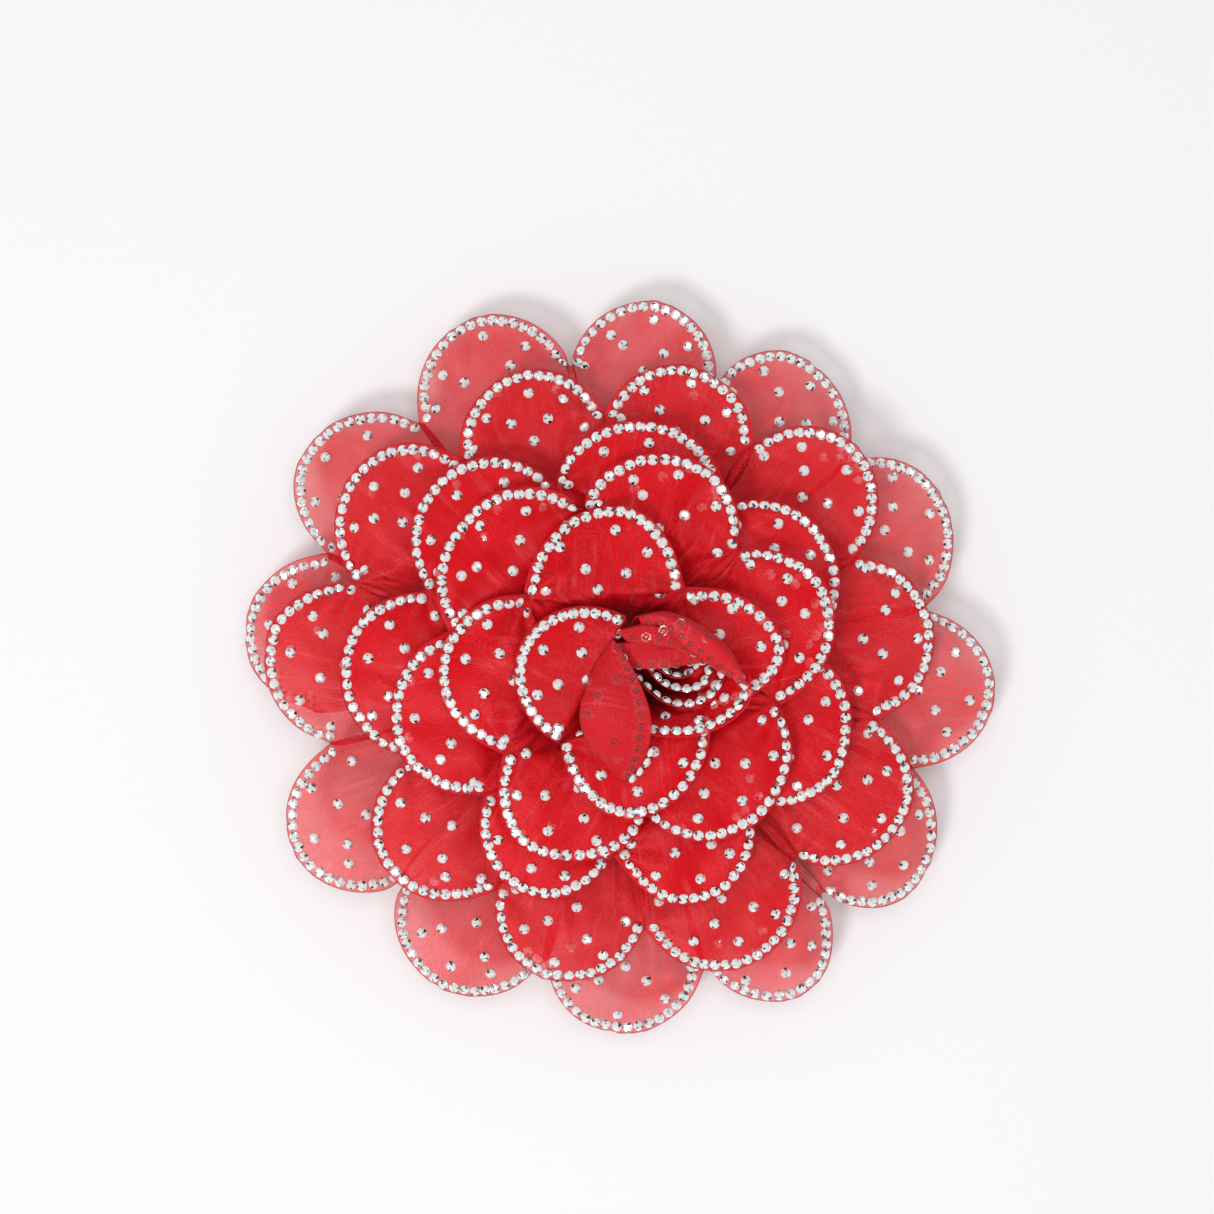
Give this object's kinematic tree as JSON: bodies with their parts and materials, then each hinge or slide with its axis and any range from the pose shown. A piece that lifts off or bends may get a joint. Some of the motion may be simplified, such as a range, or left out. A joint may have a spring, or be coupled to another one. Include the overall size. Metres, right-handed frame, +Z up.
{
  "type": "flower hair clip",
  "caption": "Wound organza ribbon flower with rhinestone-edged scalloped petals round a rolled bud, on a felt-backed disc with a sprung alligator clip.",
  "frame": {"origin": "middle of the whole object in plan, on the surface that the clip rests on", "axes": "+Z up through the flower from clip to bud, +X along the clip from handle to nose, +Y across the clip"},
  "size_m": [0.1498, 0.1488, 0.0509],
  "materials": {
    "clip_steel": "nickel plated stamped steel, fine rolling lines",
    "pin_steel": "polished rivet pin",
    "spring_steel": "bare spring wire",
    "glue": "hot melt glue, milky",
    "felt": "pressed wool felt, matte and fibrous",
    "thread": "twisted polyester sewing thread",
    "buckram": "stiffened open-weave cotton",
    "organza": "satin organza, sheer, fine weave, heat-cut scalloped edge",
    "crystal": "foil-backed faceted rhinestone"
  },
  "bodies": {
    "flower": {"clip_fixed_jaw": "clip_steel", "hinge_pin": "pin_steel", "torsion_spring": "spring_steel", "glue_beads": "glue", "felt_backing": "felt", "backing_stitches": "thread", "sewing_disc": "buckram", "gathering_stitches": "thread", "petal_turn_1": "organza", "petal_turn_2": "organza", "petal_turn_3": "organza", "petal_turn_4": "organza", "petal_turn_5": "organza", "bud_outer_petal": "organza", "bud_wrap": "organza", "bud_core": "organza", "rhinestones_turn_1": "crystal", "rhinestones_turn_2": "crystal", "rhinestones_turn_3": "crystal", "rhinestones_turn_4": "crystal", "rhinestones_turn_5": "crystal", "rhinestones_bud": "crystal"},
    "lever": {"clip_lever_jaw": "clip_steel"}
  },
  "joints": [
    {"name": "clip_hinge", "type": "hinge", "parent": "flower", "child": "lever", "pos_m": [-0.009, 0, 0.0064], "axis": [0, 1, 0], "range_deg": [0, 25], "stiffness_Nm_per_rad": 0.06, "springref_deg": -57.3, "deforming": ["torsion_spring"]}
  ]
}
